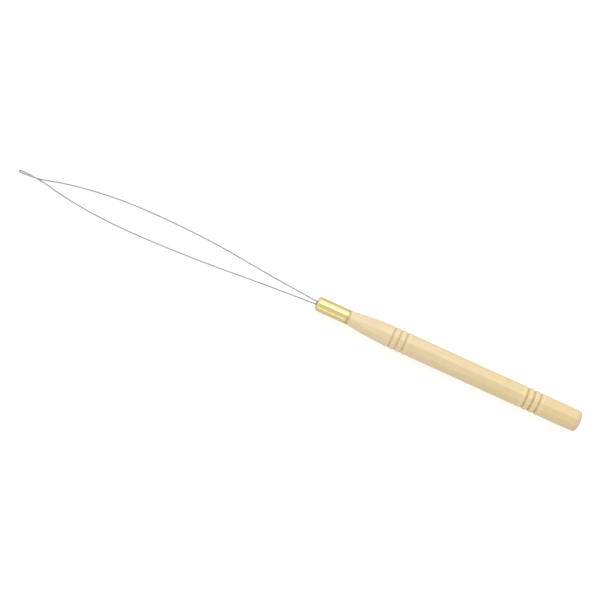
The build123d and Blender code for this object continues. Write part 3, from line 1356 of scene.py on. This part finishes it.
@dataclass(frozen=True)
class AdhesivePlug:
    """Resin that fills the bore and stands out of the ferrule's mouth round the two strands."""

    place: ToolFrame
    climb: float = 0.22 * MM
    climb_reach: float = 0.22 * MM
    bead_margin: float = 0.01 * MM
    bead_reach: float = 0.12 * MM
    edge_start: float = 0.75
    columns: int = 96
    crease_angle: float = 35.0
    weld: float = 0.0005 * MM

    def cut_channels(self, plug: bpy.types.Object, wire: bpy.types.Object) -> None:
        """Takes the wire's own solid out of the resin and keeps the new edges crisp.

        Args:
            plug: Solid plug, whose mesh is replaced.
            wire: The finished wire.
        """
        cut = plug.modifiers.new("wire_channels", "BOOLEAN")
        cut.operation, cut.solver, cut.object = "DIFFERENCE", "EXACT", wire
        graph = bpy.context.evaluated_depsgraph_get()
        solid = plug.data
        plug.data = bpy.data.meshes.new_from_object(
            plug.evaluated_get(graph), preserve_all_data_layers=True, depsgraph=graph
        )
        plug.modifiers.clear()
        bpy.data.meshes.remove(solid)
        plug.data.name = plug.name
        tidy = bmesh.new()
        tidy.from_mesh(plug.data)
        bmesh.ops.triangulate(tidy, faces=tidy.faces)
        bmesh.ops.remove_doubles(tidy, verts=tidy.verts, dist=self.weld)
        bmesh.ops.dissolve_degenerate(tidy, edges=tidy.edges, dist=self.weld)
        tidy.to_mesh(plug.data)
        tidy.free()
        plug.data.set_sharp_from_angle(angle=math.radians(self.crease_angle))

    def build(self, finish: bpy.types.Material, wire: bpy.types.Object) -> bpy.types.Object:
        """Turns the plug's outline, lets the front bead climb the strands and cuts their channels.

        In front of the rim, a point moves forward by the climb times e to the power of minus its
        distance from the nearer strand's skin over the reach.

        Args:
            finish: Resin material.
            wire: The finished wire, which the resin surrounds.

        Returns:
            The plug.
        """
        spot, mouth = self.place, self.place.mouth_radius
        bead_x = spot.mouth_x + spot.edge_round
        height = bead_x - spot.bead_x
        dome = (mouth**2 + height**2) / (2.0 * height)
        spread = math.asin(mouth / dome)
        lip_x, lip_r = spot.mouth_x + spot.lip_round, spot.ferrule_radius - spot.lip_round
        wall_x = spot.mouth_x + spot.wall
        parts = [
            arc((spot.bead_x + dome, 0.0), dome, math.pi, math.pi - spread, 36),
            crisp_path([(bead_x, mouth), (wall_x, mouth), (wall_x, lip_r)], (3, 3), spot.crisp),
            arc((lip_x, lip_r), spot.tenon_radius - lip_r, math.pi, QUARTER_TURN, 9),
            crisp_path([(lip_x, spot.tenon_radius), *spot.bore_corners], (2, 5, 12, 3), spot.crisp),
        ]
        outline = without_repeats(np.vstack(parts))
        shell = turn_outline(outline, self.columns, spot.axis_height, False)
        points = shell.points
        over_axis = points[:, 2] - spot.axis_height
        strand_gap = np.hypot(np.abs(points[:, 1]) - 0.5 * spot.tail_spacing, over_axis)
        pull = np.exp(-np.clip(strand_gap - spot.wire_radius, 0.0, None) / self.climb_reach)
        front = smooth_step(bead_x + self.bead_margin, bead_x - self.bead_reach, points[:, 0])
        points[:, 0] -= self.climb * pull * front
        # Darker towards the plug's outer edge, where it meets the ferrule's lip.
        edge = smooth_step(self.edge_start, 1.0, np.hypot(points[:, 1], over_axis) / mouth)
        piece = shell.mesh_object("resin_plug", {Trait.RECESS: edge})
        self.cut_channels(piece, wire)
        return seat_piece(piece, Node.ADHESIVE, finish)


# ---------------------------------------------------------------------------------------------
# Studio
# ---------------------------------------------------------------------------------------------


@dataclass(frozen=True)
class Softbox:
    """A rectangular soft light that hangs over the tool and faces it."""

    name: str
    bearing: float
    elevation: float
    distance: float
    length: float
    width: float
    power: float
    colour: Colour = (1.0, 1.0, 1.0)

    def hang(self, target: Vector) -> bpy.types.Object:
        """Makes the light.

        Its place is the target plus the distance along the direction with this bearing from +X
        and this elevation, both in degrees.

        Args:
            target: Place that it faces.

        Returns:
            The light.
        """
        turn, lift = math.radians(self.bearing), math.radians(self.elevation)
        away = Vector((math.cos(turn) * math.cos(lift), math.sin(turn) * math.cos(lift), math.sin(lift)))
        data = bpy.data.lights.new(self.name, "AREA")
        data.shape = "RECTANGLE"
        data.size, data.size_y = self.length, self.width
        data.energy, data.color = self.power, self.colour
        lamp = show(self.name, data)
        lamp.location = target + away * self.distance
        lamp.rotation_euler = away.to_track_quat("Z", "Y").to_euler()
        return lamp


@dataclass(frozen=True)
class Studio:
    """Floor, sky, lights and the camera straight above the tool."""

    place: ToolFrame
    effects: SharedEffects
    key: Softbox = Softbox(
        "key_softbox", bearing=106.0, elevation=54.0, distance=0.95, length=1.1, width=0.52, power=2.25,
        colour=(0.98, 0.99, 1.0),
    )
    fill: Softbox = Softbox(
        "fill_strip", bearing=272.0, elevation=30.0, distance=0.95, length=1.0, width=0.14, power=0.31
    )
    floor_radius: float = 4.0
    floor_drop: float = 0.02 * MM
    floor_rings: int = 48
    floor_columns: int = 96
    picture_turn: float = 24.5
    lens: float = 85.0
    view_share: float = 0.977
    aim: tuple[float, float] = (1.0 * MM, -1.9 * MM)
    sky_high: float = 0.74
    sky_middle: float = 1.0
    sky_low: float = 0.92
    sky_lean: float = 0.20
    sky_colour: Colour = (1.0, 0.995, 0.985)

    def floor(self) -> bpy.types.Object:
        """Round sheet whose rings grow with the square of their number, just under the tool."""
        share = (np.arange(self.floor_rings) + 1.0) / self.floor_rings
        radius = self.floor_radius * share**2
        angle = np.arange(self.floor_columns) * FULL_TURN / self.floor_columns
        x, y = radius[:, None] * np.cos(angle), radius[:, None] * np.sin(angle)
        points = np.stack([x, y, np.full_like(x, -self.floor_drop)], axis=-1).reshape(-1, 3)
        quads = ring_quads(self.floor_rings, self.floor_columns, False)[:, ::-1]
        column = np.arange(self.floor_columns)
        middle = np.stack([np.full_like(column, len(points)), column, (column + 1) % len(column)], axis=1)
        mesh = bpy.data.meshes.new("paper_floor")
        corners = np.vstack([points, [(0.0, 0.0, -self.floor_drop)]])
        mesh.from_pydata(corners.tolist(), [], quads.tolist() + middle.tolist())
        mesh.materials.append(StudioPaper(self.effects).make())
        sheet = show(mesh.name, mesh)
        return sheet

    def sky(self) -> None:
        """White surroundings, darker near the horizon, straight overhead and on the near side."""
        world = bpy.data.worlds.new("studio_sky")
        bpy.context.scene.world = world
        world.use_nodes = True
        world.node_tree.nodes.clear()
        bench = Bench(world.node_tree)
        direction = bench.add("ShaderNodeTexCoord").outputs["Generated"]
        sides = bench.add("ShaderNodeSeparateXYZ", {0: direction}).outputs
        rise = bench.rescale(sides[2], 0.0, 0.5, self.sky_low, self.sky_middle)
        fall = bench.rescale(sides[2], 0.8, 1.0, 1.0, self.sky_high / self.sky_middle)
        lean = bench.rescale(sides[1], -1.0, 1.0, 1.0 - self.sky_lean, 1.0 + self.sky_lean)
        strength = bench.math("MULTIPLY", bench.math("MULTIPLY", rise, fall), lean)
        colours = {"Color": (*self.sky_colour, 1.0), "Strength": strength}
        background = bench.add("ShaderNodeBackground", colours)
        bench.add("ShaderNodeOutputWorld", {"Surface": background.outputs[0]})

    def lights(self) -> None:
        """Large key from the far side, and a weaker narrow fill from the near side."""
        target = Vector((0.5 * (self.place.mouth_x + self.place.butt_x), 0.0, self.place.axis_height))
        for softbox in (self.key, self.fill):
            softbox.hang(target)

    def camera(self) -> bpy.types.Object:
        """Camera straight above, turned so that the tool runs from upper left to lower right.

        The field at the tool's axis is the view share times the tool's length, so the camera's
        height over it is that field times the lens over the sensor's width.

        Returns:
            The camera.
        """
        data = bpy.data.cameras.new("top_camera")
        data.lens = self.lens
        field = self.view_share * (self.place.butt_x - self.place.tip_x)
        height = field * data.lens / data.sensor_width
        eye = show(data.name, data)
        eye.location = (self.aim[0], self.aim[1], self.place.axis_height + height)
        eye.rotation_euler = (0.0, 0.0, math.radians(self.picture_turn))
        bpy.context.scene.camera = eye
        return eye

    def build(self) -> None:
        """Sets up the whole studio."""
        scene = bpy.context.scene
        scene.view_settings.view_transform = "Standard"
        scene.view_settings.look = "None"
        self.camera()
        self.floor()
        self.sky()
        self.lights()


def main() -> None:
    """Builds the studio and the four pieces, and reports each piece."""
    logging.basicConfig(level=logging.INFO, format="%(name)s: %(message)s")
    place = ToolFrame.from_cad()
    effects = SharedEffects.build()
    Studio(place, effects).build()
    wood = LacqueredWood(place.axis_height, effects).make()
    brass = PolishedBrass(place.axis_height, effects).make()
    steel = DrawnSteel(effects).make()
    resin = CuredResin(place.axis_height, effects).make()
    wire = WireLoop(place).build(steel)
    pieces = [
        Handle(place).build(wood),
        Ferrule(place).build(brass),
        wire,
        AdhesivePlug(place).build(resin, wire),
    ]
    for piece in pieces:
        log.info("%s: %d points, %d faces", piece.name, len(piece.data.vertices), len(piece.data.polygons))


if __name__ == "__main__":
    main()
